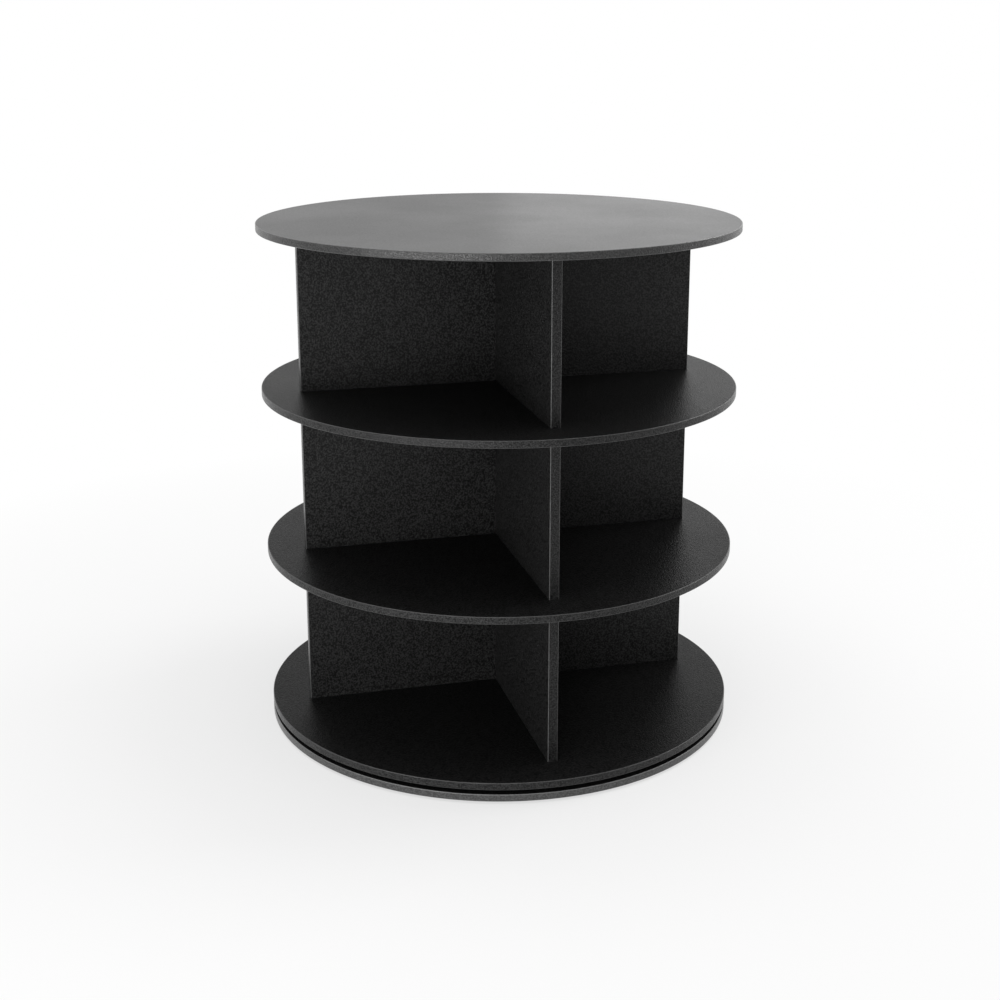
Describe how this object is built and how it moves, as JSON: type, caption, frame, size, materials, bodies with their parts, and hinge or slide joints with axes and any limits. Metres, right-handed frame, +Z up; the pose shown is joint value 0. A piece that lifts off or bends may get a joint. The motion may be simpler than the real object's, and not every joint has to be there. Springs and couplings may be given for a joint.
{
  "type": "rotating shoe tower",
  "caption": "Round shoe tower: quarter-round open compartments on stacked shelves, turning on a base disc with a slim ball bearing between.",
  "frame": {"origin": "on the floor, on the turning axis, at the centre of the base disc", "axes": "+Z up along the turning axis, X along the long dividers, -Y the front at rest"},
  "size_m": [0.5999, 0.6, 0.6415],
  "materials": {
    "black_board": "black melamine-faced board, fine pebbled grain, semi-gloss",
    "black_edging": "black glued edge band, fine grain, satin",
    "cap_plastic": "black moulded cover caps, satin",
    "fitting_metal": "zinc-plated cam locks and bolts",
    "zinc_screws": "zinc-plated countersunk screws",
    "bearing_aluminium": "plain turned aluminium",
    "ball_steel": "polished steel balls",
    "cage_plastic": "natural nylon cage",
    "dowel_beech": "bare beech",
    "foot_rubber": "black non-slip pads"
  },
  "bodies": {
    "base": {"foot_pads": "foot_rubber", "base_disc": "black_board", "base_disc_edge_band": "black_edging", "bearing_outer_ring": "bearing_aluminium", "outer_ring_screws": "zinc_screws"},
    "ball_cage": {"ball_cage": "cage_plastic", "bearing_balls": "ball_steel"},
    "tower": {"bearing_inner_ring": "bearing_aluminium", "inner_ring_screws": "zinc_screws", "bottom_shelf": "black_board", "bottom_shelf_edge_band": "black_edging", "bottom_shelf_cam_bolts": "fitting_metal", "bottom_shelf_dowels": "dowel_beech", "lower_shelf": "black_board", "lower_shelf_edge_band": "black_edging", "lower_shelf_cam_bolts": "fitting_metal", "lower_shelf_dowels": "dowel_beech", "upper_shelf": "black_board", "upper_shelf_edge_band": "black_edging", "upper_shelf_cam_bolts": "fitting_metal", "upper_shelf_dowels": "dowel_beech", "top_disc": "black_board", "top_disc_edge_band": "black_edging", "top_disc_cam_bolts": "fitting_metal", "top_disc_dowels": "dowel_beech", "bottom_tier_long_divider": "black_board", "bottom_tier_front_divider": "black_board", "bottom_tier_rear_divider": "black_board", "bottom_tier_divider_end_bands": "black_edging", "bottom_tier_cams": "fitting_metal", "bottom_tier_cam_caps": "cap_plastic", "bottom_tier_cross_dowels": "dowel_beech", "middle_tier_long_divider": "black_board", "middle_tier_front_divider": "black_board", "middle_tier_rear_divider": "black_board", "middle_tier_divider_end_bands": "black_edging", "middle_tier_cams": "fitting_metal", "middle_tier_cam_caps": "cap_plastic", "middle_tier_cross_dowels": "dowel_beech", "top_tier_long_divider": "black_board", "top_tier_front_divider": "black_board", "top_tier_rear_divider": "black_board", "top_tier_divider_end_bands": "black_edging", "top_tier_cams": "fitting_metal", "top_tier_cam_caps": "cap_plastic", "top_tier_cross_dowels": "dowel_beech"}
  },
  "joints": [
    {"name": "tower_spin", "type": "hinge", "parent": "base", "child": "tower", "pos_m": [0, 0, 0.01475], "axis": [0, 0, 1], "continuous": true},
    {"name": "cage_spin", "type": "hinge", "parent": "base", "child": "ball_cage", "pos_m": [0, 0, 0.01475], "axis": [0, 0, 1], "continuous": true}
  ],
  "couplings": [
    {"joint": "cage_spin", "follows": "tower_spin", "ratio": 0.5}
  ]
}
